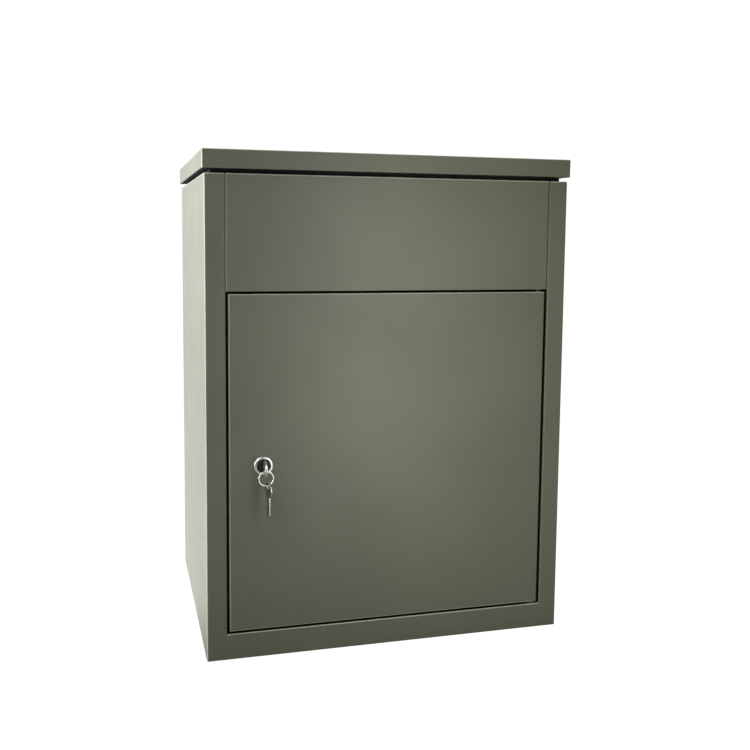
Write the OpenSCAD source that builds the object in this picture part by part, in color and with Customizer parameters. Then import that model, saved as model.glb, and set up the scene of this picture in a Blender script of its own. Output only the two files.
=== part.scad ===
// Free-standing sheet-steel book drop box. A lid hinged along the rear feeds an anti-theft drop tray,
// and a front door with a cam lock opens the compartment. X is to the right, Y to the rear, Z up,
// with the origin on the floor at the centre of the cabinet. All sizes are in millimetres.

/* [Cabinet] */
// Width of the cabinet
cabinet_w = 435; // [360:1:530]
// Depth of the cabinet
cabinet_d = 345; // [285:1:420]
// Height of the cabinet under the lid
cabinet_h = 554; // [460:1:670]
// Thickness of the sheet steel
sheet = 1.2; // [1:0.05:1.5]
// Outside radius of the folds
fold_r = 1.8; // [1.5:0.1:2.2]
// Width of the upright each side of the door
post_w = 23; // [19:1:28]
// Height of the rail under the door
rail_h = 30; // [25:1:36]
// Height of the fixed panel over the door
upper_h = 130; // [108:1:156]
// Depth of the returns that face the door
return_d = 20; // [17:1:24]
// Open seam between panels that lie flush
seam = 0.5; // [0.4:0.1:0.6]

/* [Mouth and lid] */
// Width of the flange around the mouth
mouth_flange = 12; // [10:1:14]
// Height of the collar above the cabinet
collar_h = 15; // [13:1:18]
// How far the lid stands out past the cabinet
lid_overhang = 2.5; // [2:0.5:3]
// Height of the lid's skirt
lid_h = 21; // [19:1:25]
// Open gap under the lid
lid_gap = 5; // [4:0.5:6]
// Width of the lid's bottom hem
hem_w = 10; // [8:1:12]
// Outside radius of the hinge knuckles
knuckle_r = 3; // [2.8:0.1:3.2]
// Radius of the long hinge pin
hinge_pin_r = 1.25; // [1:0.05:1.5]
// Number of knuckles along the hinge
knuckles = 15; // [9:2:19]

/* [Drop tray] */
// Height of the tray's axis below the lid's hinge
tray_drop = 82.5; // [70:0.5:95]
// Distance of the tray's axis from the rear face
tray_inset = 15; // [15:0.5:18]
// Length of the levers on the lid and the tray
lever_l = 60; // [50:1:68]
// Angle of the levers below the horizontal
lever_tilt = 60; // [56:1:64]
// Depth of the tray's side walls
tray_wall = 47; // [44:1:54]
// Height of the lip along the tray's far end
tray_lip = 20; // [16:1:24]
// Radius of the pins in the tray's linkage
link_pin_r = 3; // [2.5:0.1:3.2]
// How far the lid opens
lid_open = 80; // [60:1:82]

/* [Door] */
// Gap around the door
door_gap = 3; // [2.5:0.1:3.6]
// Depth of the door's folded edges
door_d = 18; // [16:1:21]
// Distance of the pivot from the door's edge
pivot_inset = 7; // [6.4:0.1:7.6]
// Radius of the door's pivot pins
pivot_r = 3; // [2.6:0.1:3.2]

/* [Lock and keys] */
// Distance of the lock from the door's free edge
lock_inset = 39; // [33:1:47]
// Height of the lock above the floor
lock_z = 225.5; // [190:0.5:270]
// Radius of the lock's bezel
bezel_r = 11; // [10.4:0.1:13]
// Radius of the lock's barrel
barrel_r = 9; // [8:0.1:9.8]
// Radius of the part that turns with the key
plug_r = 5.6; // [5.2:0.1:6.4]
// Radius of a key's bow
bow_r = 9; // [8:0.1:10]
// Length of a key's blade
blade_l = 22; // [19:0.5:26]
// Mean radius of the key ring
ring_r = 8.2; // [7:0.1:9.8]
// Radius of the key ring's wire
ring_wire_r = 0.65; // [0.5:0.05:0.8]

/* [Fixing holes] */
// Spacing of the floor holes from side to side
floor_hole_x = 280; // [230:5:320]
// Spacing of the floor holes from front to rear
floor_hole_y = 210; // [170:5:230]
// Spacing of the wall holes from side to side
wall_hole_x = 300; // [240:5:320]
// Spacing of the wall holes from bottom to top
wall_hole_z = 400; // [330:5:420]
// Distance of the upper wall holes below the cabinet's top
wall_hole_top = 34; // [30:1:40]
// Radius of the fixing holes
fixing_r = 4.5; // [3.5:0.5:5.5]

/* [Hidden] */
$fn = 48;

// Clearances
fit = 0.05;         // running fit of a pin in its bore
near = 0.3;         // gap between pieces that only just miss each other
eps = 0.5;          // overrun of a cut past the face that it opens

// Colours
coat = [0.40, 0.42, 0.35];
zinc = [0.72, 0.73, 0.74];
nickel = [0.80, 0.80, 0.78];
rubber_black = [0.08, 0.08, 0.08];
nylon = [0.88, 0.87, 0.82];

// Cabinet: half sizes and the door opening
side_x = cabinet_w / 2;
side_in = side_x - sheet;
front_y = -cabinet_d / 2;
rear_y = cabinet_d / 2;
rear_in = rear_y - 2 * sheet;
open_x = side_x - post_w;
open_top = cabinet_h - upper_h;
mouth_x = side_x - mouth_flange;
mouth_y = rear_y - mouth_flange;
rail_d = return_d + 4;
stop_y = front_y + return_d;
collar_top = cabinet_h + collar_h;
collar_foot = 8;
collar_foot_z = cabinet_h - 2 * sheet;

// Lid
lid_x = side_x + lid_overhang;
lid_y = rear_y + lid_overhang;
lid_z = cabinet_h + lid_gap;
lid_top = lid_z + lid_h;
lid_under = lid_top - sheet;
seal_w = 8;
seal_z = collar_top + near;

// Lid hinge: the axis lies behind the lid and below its skirt
hinge_y = lid_y + 2.2;
hinge_z = cabinet_h + lid_gap / 2;
hinge_l = 2 * (open_x - 4);
knuckle_gap = 0.4;
leaf_h = 22;
rivet_r = 1.6;
rivet_head_r = 2.8;
rivet_head_h = 1;
rivet_count = 6;
rivet_pitch = (hinge_l - 40) / (rivet_count - 1);

// Drop tray and its parallel linkage
tray_y = rear_y - tray_inset;
tray_z = hinge_z - tray_drop;
lever = [-lever_l * cos(lever_tilt), -lever_l * sin(lever_tilt)];
lug_pin_y = hinge_y + lever[0];
lug_pin_z = hinge_z + lever[1];
tray_pin_y = tray_y + lever[0];
tray_pin_z = tray_z + lever[1];
tray_x = mouth_x - 15.5;
tray_l = tray_y - front_y - 28;
tray_top = tray_z + 8;
tray_bottom = tray_z - tray_l;
tray_back = tray_y + 7.8;
lug_t = 2;
link_t = 2.4;
link_x = tray_x + 1;
link_end_r = 8;
clip_x = link_x + link_t + 0.5;
clip_t = 0.8;
clip_r = 5;
bracket_t = 2;
bracket_x = link_x + link_t + 2.1;
stud_r = 4;
link_run = [tray_y - hinge_y, tray_z - hinge_z];
link_pass = abs(lever[0] * link_run[1] - lever[1] * link_run[0]) / norm(link_run);
bush_wall = 0.6 * (link_pass - link_end_r - stud_r);
stud_clip_x = tray_x - sheet - near - 1;

// Door: a folded pan on two hidden pivots
door_x = open_x - door_gap;
door_z0 = rail_h + door_gap;
door_z1 = open_top - door_gap;
pivot_x = door_x - pivot_inset;
pivot_y = front_y + 6;
bush_r = 4.4;
bush_flange_r = 5.4;
bush_flange_h = 1;
pin_head_r = 4.5;
pin_head_h = 3;

// Lock and keys
lock_x = -door_x + lock_inset;
bezel_h = 3;
barrel_l = 20;
nut_across = 24;
nut_t = 5;
cam_y = stop_y + sheet + 0.6;
cam_t = 2;
cam_l = lock_inset - 3;
cam_w = 16;
screw_r = 2;
plug_face = front_y - bezel_h + 0.3;
key_t = 2;
blade_w = 7;
bow_hole_r = 3;
bow_hole_edge = 2.2;
key_l = 2 * bow_r + blade_l;
key_shoulder_y = plug_face - 4.5;
key_end_y = key_shoulder_y - 2 * bow_r;
ring_y = key_end_y + bow_hole_edge + bow_hole_r;
ring_top_z = lock_z - bow_hole_r + ring_wire_r + near;
ring_z = ring_top_z - ring_r;
spare_at = 20;
spare_x = lock_x + ring_r * sin(spare_at);
spare_wire_z = ring_z - ring_r * cos(spare_at);
spare_top_z = spare_wire_z + ring_wire_r + near + key_t / 2 * tan(spare_at) + bow_hole_edge;
spare_turn = -77;

// A plane shape with rounded corners, centred on the origin
module round_rect(w, d, r) {
    square([w - 2 * r, d], center = true);
    square([w, d - 2 * r], center = true);
    for (x = [-1, 1], y = [-1, 1])
        translate([x * (w / 2 - r), y * (d / 2 - r)]) circle(r = r);
}

// The same shape as a thin ring of sheet
module sheet_ring(w, d, r) {
    difference() {
        round_rect(w, d, r);
        round_rect(w - 2 * sheet, d - 2 * sheet, r - sheet);
    }
}

// A box given by its lowest and highest corners
module block(low, high) {
    translate(low) cube(high - low);
}

// A cylinder along X from x0 to x1
module rod_x(x0, x1, y, z, r) {
    translate([x0, y, z]) rotate([0, 90, 0]) cylinder(h = x1 - x0, r = r);
}

// A cylinder along Y from y0 to y1
module rod_y(x, y0, y1, z, r) {
    translate([x, y0, z]) rotate([-90, 0, 0]) cylinder(h = y1 - y0, r = r);
}

// A cylinder along Z from z0 to z1
module rod_z(x, y, z0, z1, r) {
    translate([x, y, z0]) cylinder(h = z1 - z0, r = r);
}

// Its child and the same again on the other side
module both_sides() {
    children();
    mirror([1, 0, 0]) children();
}

// The cabinet's skin to the right of x, in plan
module skin_right_of(x) {
    intersection() {
        sheet_ring(cabinet_w, cabinet_d, fold_r);
        translate([x, front_y]) square([post_w, cabinet_d]);
    }
}

// Right wall with its front upright, door return, rear flange and mouth flange
module side_panel() {
    // Beside the rail the upright runs flat up to the rail's end
    linear_extrude(rail_h) skin_right_of(open_x);
    translate([0, 0, rail_h]) linear_extrude(cabinet_h - rail_h) {
        skin_right_of(open_x + fold_r);
        // Fold into the return beside the door
        translate([open_x + fold_r, front_y + fold_r]) intersection() {
            difference() {
                circle(r = fold_r);
                circle(r = fold_r - sheet);
            }
            translate([-fold_r, -fold_r]) square(fold_r);
        }
    }
    // The return stops under the collar's foot
    block([open_x, front_y + fold_r, rail_h], [open_x + sheet, stop_y, collar_foot_z]);
    top = cabinet_h - sheet;
    block([mouth_x, front_y + fold_r, top], [side_in, rear_y - fold_r, cabinet_h]);
    block([open_x + sheet, front_y + sheet, top], [side_in, front_y + mouth_flange, cabinet_h]);
}

module left_side_panel() {
    color(coat) mirror([1, 0, 0]) side_panel();
}

module right_side_panel() {
    color(coat) side_panel();
}

// Rear wall, welded inside the rear flanges, with its mouth flange and wall holes
module rear_panel() {
    half = side_in - fold_r;
    hole_mid = cabinet_h - wall_hole_top - wall_hole_z / 2;
    color(coat) difference() {
        union() {
            block([-half, rear_in, 0], [half, rear_y - sheet, cabinet_h - sheet]);
            block([-mouth_x, mouth_y, cabinet_h - sheet], [mouth_x, rear_y - sheet, cabinet_h]);
        }
        for (x = [-1, 1], z = [-1, 1])
            rod_y(x * wall_hole_x / 2, rear_in - eps, rear_y, hole_mid + z * wall_hole_z / 2, fixing_r);
        for (i = [0 : rivet_count - 1])
            rod_y(-hinge_l / 2 + 20 + i * rivet_pitch, rear_in - eps, rear_y,
                cabinet_h - leaf_h / 2 - 4, rivet_r);
    }
}

// Floor of the cabinet with upturned edges and four floor holes
module base_panel() {
    y0 = front_y + rail_d;
    color(coat) difference() {
        union() {
            block([-side_in, y0, 0], [side_in, rear_in, sheet]);
            block([-side_in, y0, 0], [-side_in + sheet, rear_in, rail_h - 8]);
            block([side_in - sheet, y0, 0], [side_in, rear_in, rail_h - 8]);
            block([-side_in, rear_in - sheet, 0], [side_in, rear_in, rail_h - 8]);
        }
        for (x = [-1, 1], y = [-1, 1])
            rod_z(x * floor_hole_x / 2, y * floor_hole_y / 2, -eps, sheet + eps, fixing_r);
    }
}

// Closed rail under the door, welded between the uprights, which carries the lower pivot
module bottom_rail() {
    half = open_x;
    color(coat) difference() {
        block([-half, front_y, 0], [half, front_y + rail_d, rail_h]);
        block([-half - eps, front_y + sheet, sheet], [half + eps, front_y + rail_d - sheet, rail_h - sheet]);
        rod_z(pivot_x, pivot_y, rail_h - sheet - eps, rail_h + eps, bush_r + fit);
    }
}

// Fixed panel over the door, folded inwards on all four edges
module upper_front_panel() {
    half = open_x - seam;
    color(coat) difference() {
        union() {
            translate([0, 0, open_top]) linear_extrude(upper_h) intersection() {
                translate([0, front_y + return_d]) sheet_ring(2 * half, 2 * return_d, fold_r);
                translate([-half, front_y]) square([2 * half, return_d - 2]);
            }
            block([-half + sheet, front_y + sheet, open_top], [half - sheet, front_y + rail_d, open_top + sheet]);
            block([-half + sheet, front_y + sheet, cabinet_h - sheet], [half - sheet, -mouth_y, cabinet_h]);
        }
        rod_z(pivot_x, pivot_y, open_top - eps, open_top + sheet + eps, bush_r + fit);
        // The side folds are notched around the collar and its foot
        block([-half - eps, -mouth_y - collar_foot, collar_foot_z], [half + eps, rear_y, cabinet_h - sheet]);
        block([-half - eps, -mouth_y, collar_foot_z], [half + eps, rear_y, cabinet_h + eps]);
    }
}

// Upstand around the mouth, with a foot under the mouth flanges
module top_collar() {
    color(coat) difference() {
        union() {
            block([-mouth_x, -mouth_y, collar_foot_z], [mouth_x, mouth_y, collar_top]);
            block([-mouth_x - collar_foot, -mouth_y - collar_foot, collar_foot_z],
                [mouth_x + collar_foot, mouth_y + collar_foot, collar_foot_z + sheet]);
        }
        block([-mouth_x + sheet, -mouth_y + sheet, collar_foot_z - eps],
            [mouth_x - sheet, mouth_y - sheet, collar_top + eps]);
    }
}

// Angle on the lock side that the door closes on and the cam hooks behind
module door_stop_strip() {
    z0 = rail_h + 4;
    z1 = open_top - 4;
    x0 = -open_x - 2 * sheet;
    color(coat) {
        block([x0, front_y + fold_r + 2, z0], [x0 + sheet, stop_y + sheet, z1]);
        block([x0, stop_y, z0], [-open_x + post_w - 5, stop_y + sheet, z1]);
    }
}

// Two soft pads that cushion the door's free edge
module door_bumpers() {
    pad_h = return_d - door_d - near;
    color(rubber_black) for (z = [door_z0 + 45, door_z1 - 45])
        rod_y(-door_x + 3, stop_y - pad_h, stop_y, z, 4);
}

// Folded bracket that carries one end of the tray's axis
module tray_bracket() {
    z0 = tray_z - 18;
    z1 = tray_z + 18;
    y0 = tray_y - 9;
    y1 = rear_in - near;
    color(coat) difference() {
        union() {
            block([bracket_x, y0, z0], [bracket_x + bracket_t, y1, z1]);
            block([bracket_x, y1 - bracket_t, z0], [side_in, y1, z1]);
            block([side_in - bracket_t, y0 - 12, z0], [side_in, y1, z1]);
        }
        rod_x(bracket_x - eps, bracket_x + bracket_t + eps, tray_y, tray_z, stud_r);
    }
}

module tray_bracket_left() {
    mirror([1, 0, 0]) tray_bracket();
}

module tray_bracket_right() {
    tray_bracket();
}

// Two studs, one in each bracket, that the tray turns on
module tray_studs() {
    color(zinc) both_sides() difference() {
        union() {
            rod_x(stud_clip_x - 1.5, bracket_x + bracket_t, tray_y, tray_z, stud_r);
            rod_x(bracket_x + bracket_t, bracket_x + bracket_t + 3, tray_y, tray_z, stud_r + 2.5);
        }
        // Groove for the clip
        difference() {
            rod_x(stud_clip_x, stud_clip_x + clip_t, tray_y, tray_z, stud_r + 1);
            rod_x(stud_clip_x - eps, stud_clip_x + clip_t + eps, tray_y, tray_z, stud_r - 0.8);
        }
    }
}

// Nylon spacers on the studs, between the brackets and the tray
module tray_bushes() {
    color(nylon) both_sides() difference() {
        rod_x(tray_x + near, bracket_x, tray_y, tray_z, stud_r + bush_wall);
        rod_x(tray_x, bracket_x + eps, tray_y, tray_z, stud_r + fit);
    }
}

// A flat clip around a grooved pin, open on its lower side
module clip(x, y, z, pin_r, outer_r) {
    difference() {
        rod_x(x, x + clip_t, y, z, outer_r);
        rod_x(x - eps, x + clip_t + eps, y, z, pin_r);
        block([x - eps, y - pin_r * 0.7, z - outer_r - 1], [x + clip_t + eps, y + pin_r * 0.7, z]);
    }
}

module tray_stud_clips() {
    color(zinc) both_sides() clip(stud_clip_x, tray_y, tray_z, stud_r - 0.8, stud_r + 2);
}

// Rubber buffers on the rear wall that the hanging tray rests against
module tray_buffers() {
    color(rubber_black) for (x = [-1, 1])
        block([x * 130 - 15, tray_back + near, tray_bottom + 20], [x * 130 + 15, rear_in, tray_bottom + 50]);
}

// Flanged studs on the side walls that stop the open tray's side walls, and so the lid
module tray_stops() {
    stop_r = 5;
    reach = [tray_back + sheet - tray_wall - tray_y, -100];
    stop = [tray_y, tray_z] + [
        reach[0] * cos(lid_open) + reach[1] * sin(lid_open),
        -reach[0] * sin(lid_open) + reach[1] * cos(lid_open)
    ] + (stop_r + near) * [-sin(90 - lid_open), cos(90 - lid_open)];
    color(rubber_black) both_sides() {
        rod_x(tray_x - 3, side_in, stop[0], stop[1], stop_r);
        rod_x(side_in - 2, side_in, stop[0], stop[1], stop_r + 5);
    }
}

// Start of knuckle number i along the hinge
function knuckle_x(i) = -hinge_l / 2 + i * hinge_l / knuckles;

// Every other knuckle, bored for the pin, with its half of the leaf
module knuckle_row(first) {
    for (i = [first : 2 : knuckles - 1])
        rod_x(knuckle_x(i) + knuckle_gap / 2, knuckle_x(i + 1) - knuckle_gap / 2, hinge_y, hinge_z, knuckle_r);
}

module knuckle_bore() {
    rod_x(-hinge_l, hinge_l, hinge_y, hinge_z, hinge_pin_r + fit);
}

// Hinge leaf on the rear wall, with a short web out to its knuckles
module hinge_leaf_cabinet() {
    face_y = rear_y - sheet;
    web_t = 1.2;
    color(zinc) difference() {
        union() {
            block([-hinge_l / 2, face_y, cabinet_h - leaf_h], [hinge_l / 2, rear_y, hinge_z + web_t / 2]);
            knuckle_row(0);
            for (i = [0 : 2 : knuckles - 1])
                block([knuckle_x(i) + knuckle_gap / 2, face_y, hinge_z - web_t / 2],
                    [knuckle_x(i + 1) - knuckle_gap / 2, hinge_y - hinge_pin_r - 0.3, hinge_z + web_t / 2]);
        }
        knuckle_bore();
        for (i = [0 : rivet_count - 1])
            rod_y(-hinge_l / 2 + 20 + i * rivet_pitch, face_y - eps, rear_y + eps,
                cabinet_h - leaf_h / 2 - 4, rivet_r);
    }
}

// A row of rivets through a leaf, from y0 to y1, with a head at each end
module rivet_row(y0, y1, z) {
    for (i = [0 : rivet_count - 1]) {
        x = -hinge_l / 2 + 20 + i * rivet_pitch;
        rod_y(x, y0, y1, z, rivet_r);
        rod_y(x, y1, y1 + rivet_head_h, z, rivet_head_r);
        rod_y(x, y0 - rivet_head_h, y0, z, rivet_head_r);
    }
}

module cabinet_leaf_rivets() {
    color(zinc) rivet_row(rear_in, rear_y, cabinet_h - leaf_h / 2 - 4);
}

module hinge_pin() {
    color(zinc) rod_x(-hinge_l / 2, hinge_l / 2, hinge_y, hinge_z, hinge_pin_r);
}

// Flanged nylon bush, its flange on the face at z, pointing up or down
module door_bush(z, up) {
    color(nylon) translate([pivot_x, pivot_y, z]) mirror([0, 0, up ? 0 : 1]) difference() {
        union() {
            cylinder(h = bush_flange_h, r = bush_flange_r);
            translate([0, 0, -sheet - 2]) cylinder(h = sheet + 2, r = bush_r);
        }
        translate([0, 0, -sheet - 2 - eps]) cylinder(h = sheet + 4, r = pivot_r + fit);
    }
}

module door_bush_top() {
    door_bush(open_top, false);
}

module door_bush_bottom() {
    door_bush(rail_h, true);
}

// Steel washer between the lower bush and the door
module door_washer() {
    z0 = rail_h + bush_flange_h;
    color(zinc) difference() {
        rod_z(pivot_x, pivot_y, z0, door_z0 - near, bush_flange_r);
        rod_z(pivot_x, pivot_y, z0 - eps, door_z0, pivot_r + fit);
    }
}

// Lid: a folded tray upside down, hemmed on its front and sides
module lid_panel() {
    half_in = lid_x - sheet;
    color(coat) difference() {
        union() {
            difference() {
                translate([0, 0, lid_z]) linear_extrude(lid_h) round_rect(2 * lid_x, 2 * lid_y, fold_r);
                translate([0, 0, lid_z - eps]) linear_extrude(lid_h - sheet + eps)
                    round_rect(2 * half_in, 2 * lid_y - 2 * sheet, fold_r - sheet);
            }
            for (x = [-1, 1])
                block([min(x * half_in, x * (lid_x - hem_w)), -lid_y + sheet, lid_z],
                    [max(x * half_in, x * (lid_x - hem_w)), lid_y - hem_w, lid_z + sheet]);
            block([-half_in, -lid_y + sheet, lid_z], [half_in, -lid_y + hem_w, lid_z + sheet]);
        }
        for (i = [0 : rivet_count - 1])
            rod_y(-hinge_l / 2 + 20 + i * rivet_pitch, lid_y - sheet - eps, lid_y + eps,
                lid_z + lid_h / 2 + 2, rivet_r);
    }
}

// Rubber strip under the lid that lands on the collar
module lid_seal() {
    outer_x = mouth_x + (seal_w - sheet) / 2;
    outer_y = mouth_y + (seal_w - sheet) / 2;
    color(rubber_black) difference() {
        block([-outer_x, -outer_y, seal_z], [outer_x, outer_y, lid_under]);
        block([-outer_x + seal_w, -outer_y + seal_w, seal_z - eps],
            [outer_x - seal_w, outer_y - seal_w, lid_under + eps]);
    }
}

// Hinge leaf on the lid's rear skirt
module hinge_leaf_lid() {
    clear_z = hinge_z + knuckle_r + near;
    color(zinc) difference() {
        union() {
            block([-hinge_l / 2, lid_y, clear_z], [hinge_l / 2, lid_y + sheet, lid_top - 3]);
            knuckle_row(1);
            for (i = [1 : 2 : knuckles - 1])
                block([knuckle_x(i) + knuckle_gap / 2, lid_y, hinge_z],
                    [knuckle_x(i + 1) - knuckle_gap / 2, lid_y + sheet, clear_z]);
        }
        knuckle_bore();
        for (i = [0 : rivet_count - 1])
            rod_y(-hinge_l / 2 + 20 + i * rivet_pitch, lid_y - eps, lid_y + sheet + eps,
                lid_z + lid_h / 2 + 2, rivet_r);
    }
}

module lid_leaf_rivets() {
    color(zinc) rivet_row(lid_y - sheet, lid_y + sheet, lid_z + lid_h / 2 + 2);
}

// Lug that hangs from the lid and pulls on the link, with a foot on the lid
module lid_lug() {
    rear = hinge_y - 24;
    color(coat) difference() {
        union() {
            translate([tray_x - lug_t, 0, 0]) rotate([90, 0, 90]) linear_extrude(lug_t) {
                polygon([[rear - 42, lid_under], [rear, lid_under], [lug_pin_y + 8, lug_pin_z],
                    [lug_pin_y - 8, lug_pin_z]]);
                translate([lug_pin_y, lug_pin_z]) circle(r = link_end_r);
            }
            block([tray_x - 14, rear - 42, lid_under - lug_t], [tray_x, rear, lid_under]);
        }
        rod_x(tray_x - lug_t - eps, tray_x + eps, lug_pin_y, lug_pin_z, link_pin_r);
    }
}

module lid_lug_left() {
    mirror([1, 0, 0]) lid_lug();
}

module lid_lug_right() {
    lid_lug();
}

// A headed pin through a plate of thickness t and on through the link, grooved for its clip
module link_pin(y, z, t) {
    difference() {
        union() {
            rod_x(tray_x - t - 1.5, tray_x - t, y, z, link_pin_r + 2);
            rod_x(tray_x - t, clip_x + clip_t + 0.5, y, z, link_pin_r);
            rod_x(tray_x, link_x - near, y, z, link_pin_r + 1.5);
        }
        difference() {
            rod_x(clip_x, clip_x + clip_t, y, z, link_pin_r + 1);
            rod_x(clip_x - eps, clip_x + clip_t + eps, y, z, link_pin_r - 0.6);
        }
    }
}

module lid_lug_pins() {
    color(zinc) both_sides() link_pin(lug_pin_y, lug_pin_z, lug_t);
}

module lid_pin_clips() {
    color(zinc) both_sides() clip(clip_x, lug_pin_y, lug_pin_z, link_pin_r - 0.6, clip_r);
}

// Anti-theft tray: hangs against the rear wall and swings level as the lid opens
module drop_tray() {
    wall_y = tray_back + sheet - tray_wall;
    color(coat) difference() {
        union() {
            block([-tray_x, tray_back - sheet, tray_bottom], [tray_x, tray_back, tray_top]);
            block([-tray_x, tray_back - sheet - tray_lip, tray_bottom],
                [tray_x, tray_back, tray_bottom + sheet]);
            for (x = [-tray_x, tray_x - sheet])
                block([x, wall_y, tray_bottom], [x + sheet, tray_back, tray_top]);
        }
        // The side walls' front corners are cut away
        for (z = [tray_bottom, tray_top])
            translate([-tray_x - eps, wall_y, z]) rotate([45, 0, 0])
                translate([0, -7, -7]) cube([2 * tray_x + 2 * eps, 14, 14]);
        rod_x(-tray_x - eps, tray_x + eps, tray_y, tray_z, stud_r + fit);
        rod_x(-tray_x - eps, tray_x + eps, tray_pin_y, tray_pin_z, link_pin_r);
    }
}

module tray_link_pins() {
    color(zinc) both_sides() link_pin(tray_pin_y, tray_pin_z, sheet);
}

module tray_pin_clips() {
    color(zinc) both_sides() clip(clip_x, tray_pin_y, tray_pin_z, link_pin_r - 0.6, clip_r);
}

// Flat bar from the lid's lug to the tray
module link() {
    tilt = atan2(tray_pin_y - lug_pin_y, tray_pin_z - lug_pin_z);
    length = norm([tray_pin_y - lug_pin_y, tray_pin_z - lug_pin_z]);
    color(zinc) difference() {
        translate([link_x, lug_pin_y, lug_pin_z]) rotate([-tilt, 0, 0]) rotate([90, 0, 90])
            linear_extrude(link_t) {
                translate([-link_end_r, 0]) square([2 * link_end_r, length]);
                circle(r = link_end_r);
                translate([0, length]) circle(r = link_end_r);
            }
        rod_x(link_x - eps, link_x + link_t + eps, lug_pin_y, lug_pin_z, link_pin_r + fit);
        rod_x(link_x - eps, link_x + link_t + eps, tray_pin_y, tray_pin_z, link_pin_r + near);
    }
}

module link_left() {
    mirror([1, 0, 0]) link();
}

module link_right() {
    link();
}

// Door: a shallow pan, folded inwards on all four edges
module door_panel() {
    color(coat) difference() {
        union() {
            translate([0, 0, door_z0]) linear_extrude(door_z1 - door_z0) intersection() {
                translate([0, front_y + door_d + 5]) sheet_ring(2 * door_x, 2 * door_d + 10, fold_r);
                translate([-door_x, front_y]) square([2 * door_x, door_d]);
            }
            for (z = [door_z0, door_z1 - sheet])
                block([-door_x + sheet, front_y + sheet, z], [door_x - sheet, front_y + door_d, z + sheet]);
        }
        rod_z(pivot_x, pivot_y, door_z0 - eps, door_z1 + eps, pivot_r);
        rod_y(lock_x, front_y - eps, front_y + sheet + eps, lock_z, barrel_r);
    }
}

// Hat-shaped channel up the middle of the door
module door_stiffener() {
    y0 = front_y + sheet;
    z0 = door_z0 + 8;
    z1 = door_z1 - 8;
    color(coat) {
        block([-32, y0, z0], [-20, y0 + sheet, z1]);
        block([20, y0, z0], [32, y0 + sheet, z1]);
        block([-20 - sheet, y0, z0], [-20, y0 + 11, z1]);
        block([20, y0, z0], [20 + sheet, y0 + 11, z1]);
        block([-20 - sheet, y0 + 11 - sheet, z0], [20 + sheet, y0 + 11, z1]);
    }
}

// Upper pivot: through the door's edge and up into its bush
module pivot_pin_top() {
    inside = door_z1 - sheet;
    color(zinc) {
        rod_z(pivot_x, pivot_y, inside - pin_head_h - 8, open_top + sheet + 4, pivot_r);
        rod_z(pivot_x, pivot_y, inside - pin_head_h, inside, pin_head_r);
    }
}

// Lower pivot: carries the door on the washer and the bush
module pivot_pin_bottom() {
    inside = door_z0 + sheet;
    color(zinc) {
        rod_z(pivot_x, pivot_y, rail_h - sheet - 5, inside + pin_head_h + 8, pivot_r);
        rod_z(pivot_x, pivot_y, inside, inside + pin_head_h, pin_head_r);
    }
}

// Lock housing: a bezel with a bevelled rim on a barrel through the door
module lock_housing() {
    color(nickel) difference() {
        translate([lock_x, 0, lock_z]) rotate([-90, 0, 0]) rotate_extrude() polygon([
            [0, front_y - bezel_h], [bezel_r - 1.6, front_y - bezel_h], [bezel_r, front_y - 1],
            [bezel_r, front_y], [barrel_r, front_y], [barrel_r, front_y + barrel_l],
            [0, front_y + barrel_l]]);
        rod_y(lock_x, front_y - bezel_h - eps, front_y + barrel_l + eps, lock_z, plug_r + fit);
    }
}

// Hexagonal nut that clamps the housing to the door
module lock_nut() {
    color(zinc) difference() {
        translate([lock_x, front_y + sheet, lock_z]) rotate([-90, 0, 0])
            cylinder(h = nut_t, r = nut_across / 2 / cos(30), $fn = 6);
        rod_y(lock_x, front_y, front_y + sheet + nut_t + eps, lock_z, barrel_r);
    }
}

// The part that turns: a plug with a keyway and a spigot for the cam
module lock_plug() {
    back = front_y + barrel_l - 0.4;
    color(nickel) difference() {
        union() {
            rod_y(lock_x, plug_face, back, lock_z, plug_r);
            rod_y(lock_x, back, cam_y + cam_t, lock_z, 4);
        }
        block([lock_x - key_t / 2 - near, plug_face - eps, lock_z - blade_w / 2 - near],
            [lock_x + key_t / 2 + near, key_shoulder_y + blade_l + 1, lock_z + blade_w / 2 + near]);
        rod_y(lock_x, cam_y - 4, cam_y + cam_t + eps, lock_z, screw_r);
    }
}

// Flat cam, upright while the door is free and turned behind the stop strip to lock it
module lock_cam() {
    color(zinc) difference() {
        translate([lock_x, cam_y + cam_t, lock_z]) rotate([90, 0, 0]) linear_extrude(cam_t) {
            circle(r = cam_w / 2);
            translate([-cam_w / 2, 0]) square([cam_w, cam_l - cam_w / 2]);
            translate([0, cam_l - cam_w / 2]) circle(r = cam_w / 2);
        }
        rod_y(lock_x, cam_y - eps, cam_y + cam_t + eps, lock_z, 4);
    }
}

module cam_washer() {
    y0 = cam_y + cam_t;
    color(zinc) difference() {
        rod_y(lock_x, y0, y0 + 0.8, lock_z, 6.5);
        rod_y(lock_x, y0 - eps, y0 + 0.8 + eps, lock_z, screw_r);
    }
}

// Screw that holds the cam on the plug
module cam_screw() {
    y0 = cam_y + cam_t + 0.8;
    color(zinc) difference() {
        union() {
            rod_y(lock_x, cam_y - 3.5, y0, lock_z, screw_r);
            rod_y(lock_x, y0, y0 + 2.4, lock_z, 3.8);
        }
        block([lock_x - 3, y0 + 1.4, lock_z - 0.5], [lock_x + 3, y0 + 3, lock_z + 0.5]);
    }
}

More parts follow.
